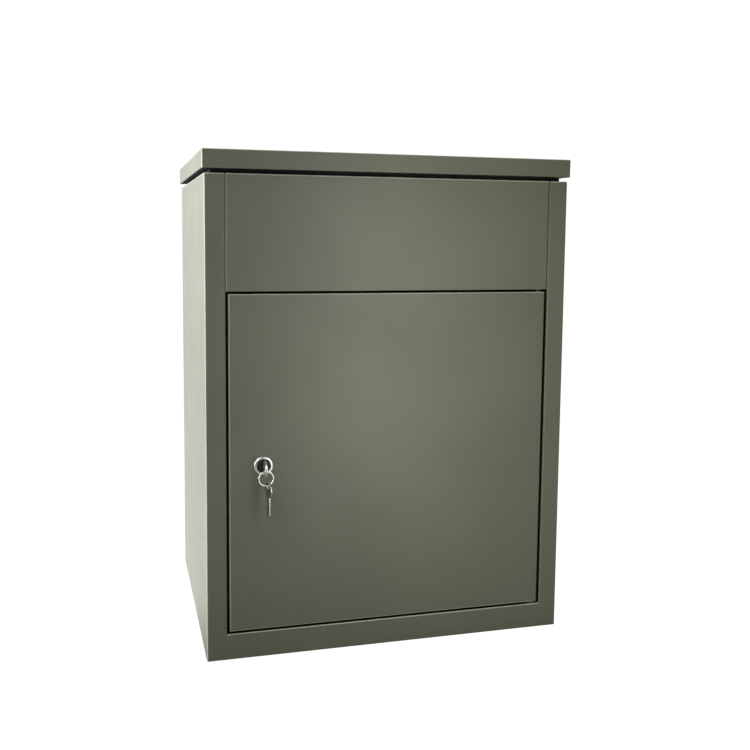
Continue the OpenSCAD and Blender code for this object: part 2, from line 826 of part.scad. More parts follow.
// A key lying along +X from the end of its bow, with its bits on the lower edge
module key_blank() {
    bit = 1.5;
    start = 2 * bow_r;
    translate([0, 0, -key_t / 2]) linear_extrude(key_t) difference() {
        union() {
            translate([bow_r, 0]) circle(r = bow_r);
            translate([start - 3, -blade_w / 2]) square([blade_l + 1, blade_w]);
            polygon([[key_l - 2, -blade_w / 2], [key_l, -1], [key_l, 1.5], [key_l - 2, blade_w / 2]]);
        }
        translate([bow_hole_edge + bow_hole_r, 0]) circle(r = bow_hole_r);
        for (i = [0 : 3])
            translate([start + 6 + i * 3.6, -blade_w / 2])
                polygon([[-bit, -eps], [0, bit], [bit, -eps]]);
    }
}

// Working key in the lock, its bow upright
module door_key() {
    color(nickel) translate([lock_x, key_end_y, lock_z]) rotate([90, 0, 90]) key_blank();
}

// Ring through the bow, hanging across the face of the door
module key_ring() {
    color(nickel) translate([lock_x, ring_y, ring_z]) rotate([90, 0, 0]) rotate_extrude()
        translate([ring_r, 0]) circle(r = ring_wire_r);
}

// Second key, hanging near the bottom of the ring, to the right, with its edge forward
module spare_key() {
    color(nickel) translate([spare_x, ring_y, spare_top_z]) rotate([0, 0, spare_turn])
        rotate([90, 90, 0]) key_blank();
}

left_side_panel();
right_side_panel();
rear_panel();
base_panel();
bottom_rail();
upper_front_panel();
top_collar();
door_stop_strip();
door_bumpers();
tray_bracket_left();
tray_bracket_right();
tray_studs();
tray_bushes();
tray_stud_clips();
tray_buffers();
tray_stops();
hinge_leaf_cabinet();
cabinet_leaf_rivets();
hinge_pin();
door_bush_top();
door_bush_bottom();
door_washer();
lid_panel();
lid_seal();
hinge_leaf_lid();
lid_leaf_rivets();
lid_lug_left();
lid_lug_right();
lid_lug_pins();
lid_pin_clips();
drop_tray();
tray_link_pins();
tray_pin_clips();
link_left();
link_right();
door_panel();
door_stiffener();
pivot_pin_top();
pivot_pin_bottom();
lock_housing();
lock_nut();
lock_plug();
lock_cam();
cam_washer();
cam_screw();
door_key();
key_ring();
spare_key();
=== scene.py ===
import math
import bmesh
import bpy
from mathutils import Euler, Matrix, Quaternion, Vector


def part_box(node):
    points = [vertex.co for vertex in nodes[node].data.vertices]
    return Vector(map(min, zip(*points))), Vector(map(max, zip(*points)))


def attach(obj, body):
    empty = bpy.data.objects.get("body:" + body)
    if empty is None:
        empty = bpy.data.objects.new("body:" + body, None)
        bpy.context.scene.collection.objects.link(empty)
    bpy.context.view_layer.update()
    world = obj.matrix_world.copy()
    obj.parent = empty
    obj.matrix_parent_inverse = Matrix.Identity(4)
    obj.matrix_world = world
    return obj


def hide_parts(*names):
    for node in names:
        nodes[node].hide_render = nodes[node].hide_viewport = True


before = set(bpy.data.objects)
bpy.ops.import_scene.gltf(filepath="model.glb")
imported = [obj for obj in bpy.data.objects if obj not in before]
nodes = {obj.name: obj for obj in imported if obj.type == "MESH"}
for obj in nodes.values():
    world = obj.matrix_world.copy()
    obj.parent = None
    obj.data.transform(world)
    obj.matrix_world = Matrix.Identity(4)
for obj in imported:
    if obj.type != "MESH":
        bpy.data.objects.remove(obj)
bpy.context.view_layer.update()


# ---- Camera ------------------------------------------------------------------------------------
# A view from the front left, a little below the lid, as someone would see the box on a low table.
# The lens is slightly longer than normal, and the small shift only frames the box.
camera_data = bpy.data.cameras.new("camera")
camera_data.sensor_width = 36
camera_data.lens = 44.18
camera_data.shift_x = 0.0183
camera_data.shift_y = -0.0677
camera_data.clip_start = 0.05
camera = bpy.data.objects.new("camera", camera_data)
bpy.context.scene.collection.objects.link(camera)
camera.location = (-0.3106, -1.1937, 0.487)
look = Euler((math.radians(84.5), 0, math.radians(-14.91))).to_quaternion()
camera.rotation_mode = "QUATERNION"
camera.rotation_quaternion = look @ Quaternion((0, 0, 1), math.radians(0.5))
bpy.context.scene.camera = camera


# ---- Studio ------------------------------------------------------------------------------------
# The box stands on a white floor in a white room, bright behind it and dim before it. A lamp high
# on the left and a soft strip before the door light the front, and a tall strip at the left draws
# the lines of light along the folds.
bpy.context.scene.view_settings.view_transform = "Standard"
world = bpy.data.worlds.new("studio")
bpy.context.scene.world = world
world.use_nodes = True
world_nodes = world.node_tree.nodes
world_links = world.node_tree.links
background = world_nodes["Background"]
background.inputs["Color"].default_value = (1, 1, 0.95, 1)
direction = world_nodes.new("ShaderNodeTexCoord")
split = world_nodes.new("ShaderNodeSeparateXYZ")
front_to_rear = world_nodes.new("ShaderNodeMapRange")
front_to_rear.inputs["From Min"].default_value = -0.2
front_to_rear.inputs["From Max"].default_value = 0.6
front_to_rear.inputs["To Min"].default_value = 0.02
front_to_rear.inputs["To Max"].default_value = 1.95
world_links.new(direction.outputs["Generated"], split.inputs["Vector"])
world_links.new(split.outputs["Y"], front_to_rear.inputs["Value"])
world_links.new(front_to_rear.outputs["Result"], background.inputs["Strength"])
plain_white = world_nodes.new("ShaderNodeBackground")
plain_white.inputs["Color"].default_value = (1, 1, 1, 1)
plain_white.inputs["Strength"].default_value = 1.05
ray = world_nodes.new("ShaderNodeLightPath")
choose = world_nodes.new("ShaderNodeMixShader")
world_links.new(ray.outputs["Is Camera Ray"], choose.inputs["Fac"])
world_links.new(background.outputs["Background"], choose.inputs[1])
world_links.new(plain_white.outputs["Background"], choose.inputs[2])
world_links.new(choose.outputs["Shader"], world_nodes["World Output"].inputs["Surface"])

bpy.ops.object.select_all(action="DESELECT")
bpy.ops.mesh.primitive_plane_add(size=12, location=(0, 0, 0))
floor = bpy.context.object
floor.name = "floor"
floor_paint = bpy.data.materials.new("white_floor")
floor_paint.use_nodes = True
floor_nodes = floor_paint.node_tree.nodes
floor_links = floor_paint.node_tree.links
floor_surface = floor_nodes["Principled BSDF"]
floor_surface.inputs["Base Color"].default_value = (0.3, 0.3, 0.29, 1)
floor_surface.inputs["Roughness"].default_value = 0.9
floor_surface.inputs["Emission Color"].default_value = (1, 1, 0.95, 1)
floor_place = floor_nodes.new("ShaderNodeTexCoord")
floor_split = floor_nodes.new("ShaderNodeSeparateXYZ")
floor_glow = floor_nodes.new("ShaderNodeMapRange")
floor_glow.inputs["From Min"].default_value = -0.17
floor_glow.inputs["From Max"].default_value = 0.0
floor_glow.inputs["To Min"].default_value = 0.0
floor_glow.inputs["To Max"].default_value = 1.35
floor_links.new(floor_place.outputs["Object"], floor_split.inputs["Vector"])
floor_links.new(floor_split.outputs["Y"], floor_glow.inputs["Value"])
floor_links.new(floor_glow.outputs["Result"], floor_surface.inputs["Emission Strength"])
floor_white = floor_nodes.new("ShaderNodeEmission")
floor_white.inputs["Strength"].default_value = 1.05
floor_ray = floor_nodes.new("ShaderNodeLightPath")
floor_choose = floor_nodes.new("ShaderNodeMixShader")
floor_links.new(floor_ray.outputs["Is Camera Ray"], floor_choose.inputs["Fac"])
floor_links.new(floor_surface.outputs["BSDF"], floor_choose.inputs[1])
floor_links.new(floor_white.outputs["Emission"], floor_choose.inputs[2])
floor_links.new(floor_choose.outputs["Shader"], floor_nodes["Material Output"].inputs["Surface"])
floor.data.materials.append(floor_paint)

for name, place, target, width, height, power, tint in [
    ("upper_left_lamp", (-0.9, -1.3, 1.6), (0.0, -0.17, 0.35), 0.8, 0.8, 8.4, (1, 1, 0.96)),
    ("front_strip", (0.07, -0.55, 0.35), (0.07, 0.0, 0.35), 0.2, 0.56, 1.22, (1, 1, 0.92)),
    ("left_strip", (-1.3, -0.22, 0.98), (0.0, -0.22, 0.8), 0.2, 1.5, 21, (1, 1, 1)),
]:
    lamp_data = bpy.data.lights.new(name, "AREA")
    lamp_data.shape = "RECTANGLE"
    lamp_data.size = width
    lamp_data.size_y = height
    lamp_data.energy = power
    lamp_data.color = tint
    lamp = bpy.data.objects.new(name, lamp_data)
    bpy.context.scene.collection.objects.link(lamp)
    lamp.location = place
    lamp.rotation_mode = "QUATERNION"
    lamp.rotation_quaternion = (Vector(target) - Vector(place)).to_track_quat("-Z", "Y")
    lamp.visible_camera = False


# ---- Powder coat -------------------------------------------------------------------------------
# Every steel sheet is sprayed with olive-grey powder and baked, which leaves a satin skin with a
# fine orange peel, a slight drift of tone over a hand's width, and faint dust and scuffs. It is
# rubbed smoother where a sheet is folded, and the folds are coloured paler as a painted
# highlight.
powder_coat = bpy.data.materials.new("powder_coat")
powder_coat.use_nodes = True
coat_nodes = powder_coat.node_tree.nodes
coat_links = powder_coat.node_tree.links
coat_surface = coat_nodes["Principled BSDF"]
coat_place = coat_nodes.new("ShaderNodeTexCoord")

tone = coat_nodes.new("ShaderNodeTexNoise")
tone.inputs["Scale"].default_value = 7
tone.inputs["Detail"].default_value = 3
coat_links.new(coat_place.outputs["Object"], tone.inputs["Vector"])
tone_ramp = coat_nodes.new("ShaderNodeValToRGB")
tone_ramp.color_ramp.elements[0].position = 0.3
tone_ramp.color_ramp.elements[0].color = (0.128, 0.134, 0.098, 1)
tone_ramp.color_ramp.elements[1].position = 0.7
tone_ramp.color_ramp.elements[1].color = (0.146, 0.152, 0.112, 1)
coat_links.new(tone.outputs["Fac"], tone_ramp.inputs["Fac"])

grain = coat_nodes.new("ShaderNodeTexNoise")
grain.inputs["Scale"].default_value = 900
grain.inputs["Detail"].default_value = 2
coat_links.new(coat_place.outputs["Object"], grain.inputs["Vector"])
grain_ramp = coat_nodes.new("ShaderNodeValToRGB")
grain_ramp.color_ramp.elements[0].position = 0.35
grain_ramp.color_ramp.elements[0].color = (0.93, 0.93, 0.93, 1)
grain_ramp.color_ramp.elements[1].position = 0.65
grain_ramp.color_ramp.elements[1].color = (1.0, 1.0, 1.0, 1)
coat_links.new(grain.outputs["Fac"], grain_ramp.inputs["Fac"])
speckled = coat_nodes.new("ShaderNodeMix")
speckled.data_type = "RGBA"
speckled.blend_type = "MULTIPLY"
speckled.inputs["Factor"].default_value = 1
coat_links.new(tone_ramp.outputs["Color"], speckled.inputs["A"])
coat_links.new(grain_ramp.outputs["Color"], speckled.inputs["B"])
coat_links.new(speckled.outputs["Result"], coat_surface.inputs["Base Color"])

rub = coat_nodes.new("ShaderNodeTexNoise")
rub.inputs["Scale"].default_value = 22
rub.inputs["Detail"].default_value = 5
coat_links.new(coat_place.outputs["Object"], rub.inputs["Vector"])
rub_range = coat_nodes.new("ShaderNodeMapRange")
rub_range.inputs["To Min"].default_value = 0.40
rub_range.inputs["To Max"].default_value = 0.52
coat_links.new(rub.outputs["Fac"], rub_range.inputs["Value"])
coat_links.new(rub_range.outputs["Result"], coat_surface.inputs["Roughness"])

peel = coat_nodes.new("ShaderNodeTexNoise")
peel.inputs["Scale"].default_value = 420
peel.inputs["Detail"].default_value = 1.5
coat_links.new(coat_place.outputs["Object"], peel.inputs["Vector"])
peel_bump = coat_nodes.new("ShaderNodeBump")
peel_bump.inputs["Strength"].default_value = 0.12
peel_bump.inputs["Distance"].default_value = 0.0004
coat_links.new(peel.outputs["Fac"], peel_bump.inputs["Height"])
coat_links.new(peel_bump.outputs["Normal"], coat_surface.inputs["Normal"])

# A copy of the coat, rubbed smoother and coloured about three times paler; the paler colour is a
# painted highlight along the folds.
rubbed_coat_with_painted_highlight = powder_coat.copy()
rubbed_coat_with_painted_highlight.name = "powder_coat_painted_highlight_on_folds"
for part in rubbed_coat_with_painted_highlight.node_tree.nodes:
    if part.type == "VALTORGB" and part.color_ramp.elements[0].color[0] < 0.5:
        part.color_ramp.elements[0].color = (0.40, 0.41, 0.34, 1)
        part.color_ramp.elements[1].color = (0.46, 0.47, 0.40, 1)
    if part.type == "MAP_RANGE":
        part.inputs["To Min"].default_value = 0.28
        part.inputs["To Max"].default_value = 0.36


# ---- Side walls --------------------------------------------------------------------------------
# Each wall is one sheet that wraps round the front as the upright beside the door and turns in
# behind it. Its top edge is folded over towards the mouth, so that edge is rounded like the rest.
close = 0.0001                    # how near a face counts as on it
corner_reach = 0.0019             # how far a rounded corner reaches in from the outer face
same_point = 0.000002             # vertices nearer than this are one
sharp_angle = math.radians(40)    # edges sharper than this are bevelled
smooth_angle = math.radians(32)   # edges flatter than this are shaded smooth


def faces_by(piece, wanted):
    """Selects the faces of the piece being edited whose normal and centre suit wanted."""
    bpy.ops.mesh.select_mode(type="FACE")
    bpy.ops.mesh.select_all(action="DESELECT")
    work = bmesh.from_edit_mesh(piece.data)
    work.normal_update()
    for face in work.faces:
        face.select = wanted(face.normal, face.calc_center_median())
    bmesh.update_edit_mesh(piece.data)


def along_axis(normal, centre):
    return max(abs(part) for part in normal) > 0.99999


# The rounded faces at the left of a sheet, facing the lamps at the left; they get the painted
# highlight.
def on_left_fold(normal, centre):
    rounded = normal.x < -0.45 and -0.9 < normal.y < -0.05 and abs(normal.z) < 0.1
    return rounded and centre.x < 0


def folded_sheet(node, body, on_fold, fold=0.0009, rim=0.0002, plating=None):
    """A copy of a steel sheet with its folds rolled and its cut rims just broken. Plating is the
    finish of a sheet that isn't powder coated."""
    mesh = nodes[node].data.copy()
    mesh.materials.clear()
    mesh.materials.append(plating or powder_coat)
    mesh.materials.append(plating or rubbed_coat_with_painted_highlight)
    piece = bpy.data.objects.new(node + "_coated", mesh)
    bpy.context.scene.collection.objects.link(piece)
    bpy.ops.object.select_all(action="DESELECT")
    piece.select_set(True)
    bpy.context.view_layer.objects.active = piece

    # The loose triangles become whole faces, then the folds are rolled in the paler coat, a
    # painted highlight, and the rims are broken.
    bpy.ops.object.mode_set(mode="EDIT")
    bpy.ops.mesh.select_mode(type="EDGE")
    bpy.ops.mesh.select_all(action="SELECT")
    bpy.ops.mesh.remove_doubles(threshold=same_point)
    bpy.ops.mesh.dissolve_limited(angle_limit=math.radians(1))
    shortest_rim = 0.0025
    for width, steps, wanted in [(fold, 5, on_fold), (rim, 1, None)]:
        bpy.ops.mesh.select_all(action="DESELECT")
        work = bmesh.from_edit_mesh(mesh)
        work.normal_update()
        for edge in work.edges:
            if len(edge.link_faces) != 2 or edge.calc_face_angle() < sharp_angle:
                continue
            if not edge.is_convex:
                continue
            if wanted is None:
                edge.select = edge.calc_length() > shortest_rim
            else:
                edge.select = all(wanted(end.co) for end in edge.verts)
        bmesh.update_edit_mesh(mesh)
        # The rolled folds take the second slot, the paler coat that is a painted highlight.
        if any(edge.select for edge in work.edges):
            bpy.ops.mesh.bevel(offset=width, segments=steps, affect="EDGES",
                               clamp_overlap=wanted is None, material=1 if wanted else -1)
    bpy.ops.object.mode_set(mode="OBJECT")

    # Flat faces are shaded flat and the rest smooth. The folds at the left get the paler coat, a
    # painted highlight on the side that faces the lamps at the left.
    bpy.ops.object.shade_smooth_by_angle(angle=smooth_angle)
    bpy.ops.object.mode_set(mode="EDIT")
    faces_by(piece, along_axis)
    bpy.ops.mesh.faces_shade_flat()
    faces_by(piece, on_left_fold)
    piece.active_material_index = 1
    bpy.ops.object.material_slot_assign()
    bpy.ops.object.mode_set(mode="OBJECT")
    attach(piece, body)
    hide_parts(node)
    return piece


cabinet_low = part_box("left_side_panel")[0]
cabinet_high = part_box("right_side_panel")[1]


def on_cabinet_top(point):
    outer_x = abs(point.x) > cabinet_high.x - corner_reach
    outer_y = point.y < cabinet_low.y + close or point.y > cabinet_high.y - close
    return point.z > cabinet_high.z - close and (outer_x or outer_y)


top_fold = 0.0013
for wall in ["left_side_panel", "right_side_panel"]:
    folded_sheet(wall, "cabinet", on_cabinet_top, fold=top_fold)


# ---- Fixed panel over the door -----------------------------------------------------------------
# A shallow pan welded between the uprights. Its top edge is folded in with the walls', and its
# lower edge is folded in above the door, where it holds the upper pivot.
panel_low, panel_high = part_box("upper_front_panel")


def on_panel_top(point):
    return point.y < panel_low.y + close and point.z > panel_high.z - close


folded_sheet("upper_front_panel", "cabinet", on_panel_top, fold=top_fold)


# ---- Rail under the door -----------------------------------------------------------------------
# A closed rail, welded flush between the uprights and ground smooth, so no seam shows. Its top
# edge is rolled where it faces the door.
rail_low, rail_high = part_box("bottom_rail")


def on_rail_top(point):
    return point.z > rail_high.z - close and point.y < rail_low.y + close


sharp_rim = 0.00005
folded_sheet("bottom_rail", "cabinet", on_rail_top, rim=sharp_rim)


# ---- Rear wall, floor and inner sheets ---------------------------------------------------------
# The rear wall and the floor carry the fixing holes. The collar round the mouth, the stop strip
# and the tray's brackets are folded from the same sheet and coated with it.
def nowhere(point):
    return False


for inner in ["rear_panel", "base_panel", "top_collar", "door_stop_strip",
              "tray_bracket_left", "tray_bracket_right"]:
    folded_sheet(inner, "cabinet", nowhere)


# ---- Black gasket round the mouth, as painted shade --------------------------------------------
# A gasket in the black rubber finish lies on the folded rim, pressed against the outside of the
# collar, and the lid's hem closes just above it. Its black is painted shade, which makes the gap
# under the lid look black.
def made_of(name, dark, light, metal, roughness, drift_scale, grain_scale, grain_height):
    """A finish whose tone drifts in noise patches, whose shine is uneven and whose skin has a
    fine grain. In the dark nickel and the key metal the fine patches are painted glints.
    """
    finish = bpy.data.materials.new(name)
    finish.use_nodes = True
    parts = finish.node_tree.nodes
    wires = finish.node_tree.links
    surface = parts["Principled BSDF"]
    surface.inputs["Metallic"].default_value = metal
    place = parts.new("ShaderNodeTexCoord")
    drift = parts.new("ShaderNodeTexNoise")
    drift.inputs["Scale"].default_value = drift_scale
    drift.inputs["Detail"].default_value = 4
    wires.new(place.outputs["Object"], drift.inputs["Vector"])
    shades = parts.new("ShaderNodeValToRGB")
    shades.color_ramp.elements[0].position = 0.3
    shades.color_ramp.elements[0].color = (*dark, 1)
    shades.color_ramp.elements[1].position = 0.7
    shades.color_ramp.elements[1].color = (*light, 1)
    wires.new(drift.outputs["Fac"], shades.inputs["Fac"])
    wires.new(shades.outputs["Color"], surface.inputs["Base Color"])
    grain_noise = parts.new("ShaderNodeTexNoise")
    grain_noise.inputs["Scale"].default_value = grain_scale
    grain_noise.inputs["Detail"].default_value = 3
    wires.new(place.outputs["Object"], grain_noise.inputs["Vector"])
    dullness = parts.new("ShaderNodeMapRange")
    dullness.inputs["From Min"].default_value = 0.3
    dullness.inputs["From Max"].default_value = 0.7
    dullness.inputs["To Min"].default_value = roughness[0]
    dullness.inputs["To Max"].default_value = roughness[1]
    wires.new(grain_noise.outputs["Fac"], dullness.inputs["Value"])
    wires.new(dullness.outputs["Result"], surface.inputs["Roughness"])
    grain_bump = parts.new("ShaderNodeBump")
    grain_bump.inputs["Strength"].default_value = 0.2
    grain_bump.inputs["Distance"].default_value = grain_height
    wires.new(grain_noise.outputs["Fac"], grain_bump.inputs["Height"])
    wires.new(grain_bump.outputs["Normal"], surface.inputs["Normal"])
    return finish


def block_between(name, low, high, finish, body):
    """A plain block from one corner to the other, in place."""
    bpy.ops.object.select_all(action="DESELECT")
    middle = (Vector(low) + Vector(high)) / 2
    bpy.ops.mesh.primitive_cube_add(size=1, location=middle)
    piece = bpy.context.object
    piece.name = name
    piece.scale = Vector(high) - Vector(low)
    bpy.ops.object.transform_apply(location=True, rotation=True, scale=True)
    piece.data.materials.append(finish)
    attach(piece, body)
    return piece


# Black rubber for the real buffers and seals, also used as painted shade on the mouth gasket, the
# strips in the door opening and the lid hem's underside.
rubber = made_of("rubber", (0.007, 0.007, 0.007), (0.013, 0.013, 0.012), 0, (0.62, 0.78),
                 60, 1500, 0.0002)
rubber.node_tree.nodes["Principled BSDF"].inputs["Specular IOR Level"].default_value = 0.15
collar_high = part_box("top_collar")[1]
collar_foot = 0.008
shade_gasket_width = 0.0045
shade_gasket_height = 0.0044
collar_gap = 0.00002
mouth_x = collar_high.x - collar_foot
mouth_y = collar_high.y - collar_foot
rim_z = cabinet_high.z
# A black block in the rubber finish, hollowed to a frame: painted shade in the gap under the lid.
shade_gasket = block_between(
    "mouth_shade_gasket",
    (-mouth_x - shade_gasket_width, -mouth_y - shade_gasket_width, rim_z),
    (mouth_x + shade_gasket_width, mouth_y + shade_gasket_width, rim_z + shade_gasket_height),
    rubber, "cabinet")
bpy.ops.object.mode_set(mode="EDIT")
faces_by(shade_gasket, lambda normal, centre: abs(normal.z) > 0.9)
bpy.ops.mesh.inset(thickness=shade_gasket_width - collar_gap)
bpy.ops.mesh.delete(type="FACE")
bpy.ops.mesh.select_mode(type="EDGE")
bpy.ops.mesh.select_non_manifold()
bpy.ops.mesh.bridge_edge_loops()
bpy.ops.mesh.select_all(action="SELECT")
bpy.ops.mesh.normals_make_consistent(inside=False)
bpy.ops.object.mode_set(mode="OBJECT")


# ---- Strips in the door opening ----------------------------------------------------------------
# Thin black strips in the rubber finish, along the rail's top and up the upright at the pivots.
# Their black is painted shade, which makes the gap round the door look black.
opening_x = 0.1945
strip_left_x = -0.194
strip_right_x = 0.1788            # just short of the pivot's bush
strip_front = rail_low.y + 0.0012
strip_back = rail_low.y + 0.0155
strip_thickness = 0.00025
end_gap = 0.0002
# Both strips are black as painted shade in the gap round the door.
block_between("rail_shade_strip", (strip_left_x, strip_front, rail_high.z),
              (strip_right_x, strip_back, rail_high.z + strip_thickness),
              rubber, "cabinet")
block_between("upright_shade_strip", (opening_x - strip_thickness, strip_front, rail_high.z + end_gap),
              (opening_x, strip_back, panel_low.z - end_gap), rubber, "cabinet")


# ---- Paint in the seams ------------------------------------------------------------------------
# The powder coat nearly fills the narrow seams between the fixed panel and the uprights, so each
# shows only as a hairline.
seam_x = 0.19425
fill_half = 0.00045
fill_front = panel_low.y + 0.00012
fill_back = panel_low.y + 0.0008
fill_bottom = panel_low.z + 0.0004
fill_top = panel_high.z - 0.0012
for name, x in [("seam_fill_left", -seam_x), ("seam_fill_right", seam_x)]:
    block_between(name, (x - fill_half, fill_front, fill_bottom),
                  (x + fill_half, fill_back, fill_top), powder_coat, "cabinet")


# ---- Buffers, stops and door bumpers -----------------------------------------------------------
# Moulded rubber pieces, pressed or bonded on where steel would meet steel: the bumpers behind the
# door, the tray's buffers, and the stops that it rests against when it is down.
def dress(node, finish, edge=0.0, steps=2):
    """A CAD piece shown as it is, in its finish, with its sharp edges broken."""
    piece = nodes[node]
    piece.data.materials.clear()
    piece.data.materials.append(finish)
    if edge:
        weld = piece.modifiers.new("weld", "WELD")
        weld.merge_threshold = same_point
        bevel = piece.modifiers.new("broken_edges", "BEVEL")
        bevel.width = edge
        bevel.segments = steps
        bevel.limit_method = "ANGLE"
        bevel.angle_limit = sharp_angle


dress("door_bumpers", rubber, 0.0005)
dress("tray_buffers", rubber, 0.0005)
dress("tray_stops", rubber, 0.0005)


# ---- Tray studs, bushes and clips --------------------------------------------------------------
# Turned steel studs, zinc plated, riveted through the brackets. The tray swings on them between
# nylon bushes, and spring clips keep it on.
zinc_steel = made_of("zinc_steel", (0.33, 0.34, 0.35), (0.39, 0.40, 0.41), 1, (0.34, 0.5),
                     260, 1400, 0.0001)
nylon = made_of("nylon", (0.66, 0.64, 0.58), (0.76, 0.74, 0.68), 0, (0.35, 0.5),
                40, 900, 0.0001)
dress("tray_studs", zinc_steel, 0.0002)
dress("tray_bushes", nylon, 0.0003)
dress("tray_stud_clips", zinc_steel, 0.0001)


# ---- Rear hinge --------------------------------------------------------------------------------
# A piano hinge of plated steel along the rear edge. Domed rivets hold one leaf to the rear wall
# and the other to the lid, and one long pin runs through all the knuckles.
folded_sheet("hinge_leaf_cabinet", "cabinet", nowhere, plating=zinc_steel)
folded_sheet("hinge_leaf_lid", "lid", nowhere, plating=zinc_steel)
dress("cabinet_leaf_rivets", zinc_steel, 0.0007, 4)
dress("lid_leaf_rivets", zinc_steel, 0.0007, 4)
dress("hinge_pin", zinc_steel, 0.0003)


# ---- Door bushes and washer --------------------------------------------------------------------
# Flanged bushes of oil-filled nylon in the panel above the door and in the rail below it,
# coloured near black, and a plated washer that takes the door's weight, coloured dark grey like
# the pivot pins. These dark colours are painted shade in the gaps above and below the door.
# The near-black nylon and the dark zinc are painted shade for the gaps round the door.
painted_shade_nylon = made_of("painted_shade_nylon", (0.020, 0.020, 0.019), (0.030, 0.030, 0.028), 0, (0.4, 0.55),
                     60, 1200, 0.0001)
painted_shade_zinc = made_of("painted_shade_zinc", (0.10, 0.10, 0.10), (0.20, 0.20, 0.19), 1, (0.45, 0.6),
                    160, 1400, 0.0001)
dress("door_bush_top", painted_shade_nylon, 0.0002)
dress("door_bush_bottom", painted_shade_nylon, 0.0002)
dress("door_washer", painted_shade_zinc, 0.0001)


# ---- Lid ---------------------------------------------------------------------------------------
# A folded tray, upside down, that overhangs the cabinet all round. Its top edges are rolled in
# the paler coat, a painted highlight, and the skirt is hemmed inwards along the front and the
# sides.
# The hem's underside is coloured with the black rubber finish as painted shade.
lid_low, lid_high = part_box("lid_panel")


def on_lid_edge(point):
    outer_x = abs(point.x) > lid_high.x - corner_reach
    outer_y = abs(point.y) > lid_high.y - corner_reach
    return point.z > lid_high.z - close and (outer_x or outer_y)


lid = folded_sheet("lid_panel", "lid", on_lid_edge)
# The underside of the hem gets the black rubber finish: painted shade.
lid.data.materials.append(rubber)
bpy.ops.object.mode_set(mode="EDIT")
faces_by(lid, lambda normal, centre: normal.z < -0.9 and centre.z < lid_low.z + close)
lid.active_material_index = 2
bpy.ops.object.material_slot_assign()
bpy.ops.object.mode_set(mode="OBJECT")
for lug in ["lid_lug_left", "lid_lug_right"]:
    folded_sheet(lug, "lid", nowhere)
dress("lid_lug_pins", zinc_steel, 0.0002)
dress("lid_pin_clips", zinc_steel, 0.0001)


# ---- Lid seal ----------------------------------------------------------------------------------
# A rubber seal of square section, bonded in a frame under the lid. It closes on the collar and
# keeps the rain out.
dress("lid_seal", rubber, 0.0006)


# ---- Drop tray ---------------------------------------------------------------------------------
# The tray that a book lands on, folded from one coated sheet with side walls and a low lip. Its
# side walls turn on the studs, and spring clips hold the links on its pins.
folded_sheet("drop_tray", "tray", nowhere)
dress("tray_link_pins", zinc_steel, 0.0002)
dress("tray_pin_clips", zinc_steel, 0.0001)


# ---- Links -------------------------------------------------------------------------------------
# Two flat plated bars, one at each side, that tie the tray to the lid's lugs so that both tip
# together. Their rims are only tumbled smooth.
folded_sheet("link_left", "left_link", nowhere, plating=zinc_steel)
folded_sheet("link_right", "right_link", nowhere, plating=zinc_steel)


# ---- Door --------------------------------------------------------------------------------------
# A shallow pan folded in on all four edges. The upright folds are already round, and the top and
# bottom edges are rolled to match. A hat-shaped channel stiffens it inside.
door_low, door_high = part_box("door_panel")


def on_door_edge(point):
    outer_x = abs(point.x) > door_high.x - corner_reach
    at_front = point.y < door_low.y + close
    at_end = point.z > door_high.z - close or point.z < door_low.z + close
    return at_end and (outer_x or at_front)


folded_sheet("door_panel", "door", on_door_edge)
folded_sheet("door_stiffener", "door", nowhere)
# The pivot pins take the dark zinc, painted shade in the gaps above and below the door.
dress("pivot_pin_top", painted_shade_zinc, 0.0004)
dress("pivot_pin_bottom", painted_shade_zinc, 0.0004)


# ---- Lock body ---------------------------------------------------------------------------------
# A turned and nickel-plated barrel with a rounded bezel on the door's face. The bezel dips a
# little towards the plug, and a hexagonal nut clamps the barrel to the door.
nickel = made_of("nickel", (0.80, 0.80, 0.77), (0.90, 0.90, 0.87), 1, (0.24, 0.34),
                 150, 2500, 0.00004)
# A near-black nickel with fine light flecks: painted shade and painted glints, for the lock's
# dish and plug.
nickel_painted_shade_and_glints = made_of("nickel_painted_shade_and_glints", (0.003, 0.003, 0.003), (0.12, 0.12, 0.115), 1,
                      (0.12, 0.3), 420, 1800, 0.00008)
housing_low, housing_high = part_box("lock_housing")
lock_axis = (housing_low + housing_high) / 2
bezel_radius = (housing_high.x - housing_low.x) / 2
bezel_front = housing_low.y
bezel_depth = 0.003
barrel_radius = 0.009
barrel_length = housing_high.y - bezel_front - bezel_depth
bore_radius = 0.00565
ring_width = 0.0027
dish_slope = 0.0003
dish_depth = 0.0009
rounding = 0.0017


def from_axis(point):
    return math.hypot(point.x - lock_axis.x, point.z - lock_axis.z)


def in_dish(normal, centre):
    behind_rim = bezel_front + 0.0002 < centre.y < bezel_front + 0.0012
    return normal.y < -0.5 and behind_rim and from_axis(centre) < bezel_radius - 0.0023


bpy.ops.object.select_all(action="DESELECT")
bpy.ops.mesh.primitive_cylinder_add(
    vertices=96, radius=bezel_radius, depth=bezel_depth,
    location=(lock_axis.x, bezel_front + bezel_depth / 2, lock_axis.z),
    rotation=(math.radians(90), 0, 0))
lock_body = bpy.context.object
lock_body.name = "lock_body"
bpy.ops.object.transform_apply(location=True, rotation=True, scale=True)
bpy.ops.object.mode_set(mode="EDIT")
faces_by(lock_body, lambda normal, centre: normal.y > 0.9)
bpy.ops.mesh.inset(thickness=bezel_radius - barrel_radius)
bpy.ops.mesh.extrude_region_move(TRANSFORM_OT_translate={"value": (0, barrel_length, 0)})
bpy.ops.mesh.inset(thickness=barrel_radius - bore_radius)
bpy.ops.mesh.delete(type="FACE")
faces_by(lock_body, lambda normal, centre: normal.y < -0.9 and centre.y < bezel_front + close)
bpy.ops.mesh.inset(thickness=ring_width)
bpy.ops.mesh.inset(thickness=dish_slope)
